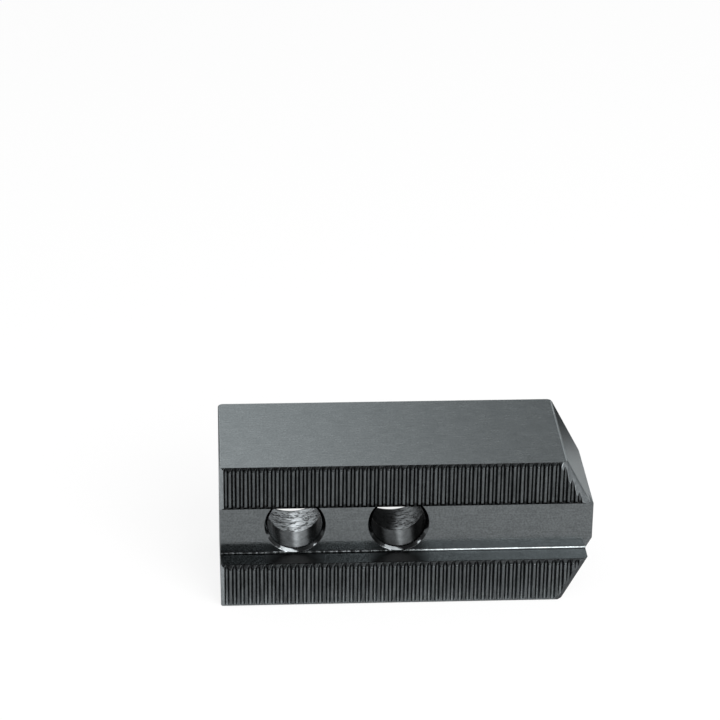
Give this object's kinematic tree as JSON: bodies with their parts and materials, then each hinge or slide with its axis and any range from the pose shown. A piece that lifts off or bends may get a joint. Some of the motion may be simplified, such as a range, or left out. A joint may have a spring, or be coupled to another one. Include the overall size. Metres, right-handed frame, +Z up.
{
  "type": "chuck top jaw",
  "caption": "Pointed hard top jaw for a power chuck: a steel block with a serrated, keyed base and counterbored cap screw holes.",
  "frame": {"origin": "middle of the footprint, on the side face that the jaw lies on", "axes": "+X along the jaw from its blunt end to its pointed nose, +Y from the serrated base to the plain top face, +Z up across its width"},
  "size_m": [0.072, 0.028, 0.03],
  "materials": {
    "top_jaw": "ground and blackened, satin"
  },
  "bodies": {
    "root": {"top_jaw": "top_jaw"}
  },
  "joints": []
}
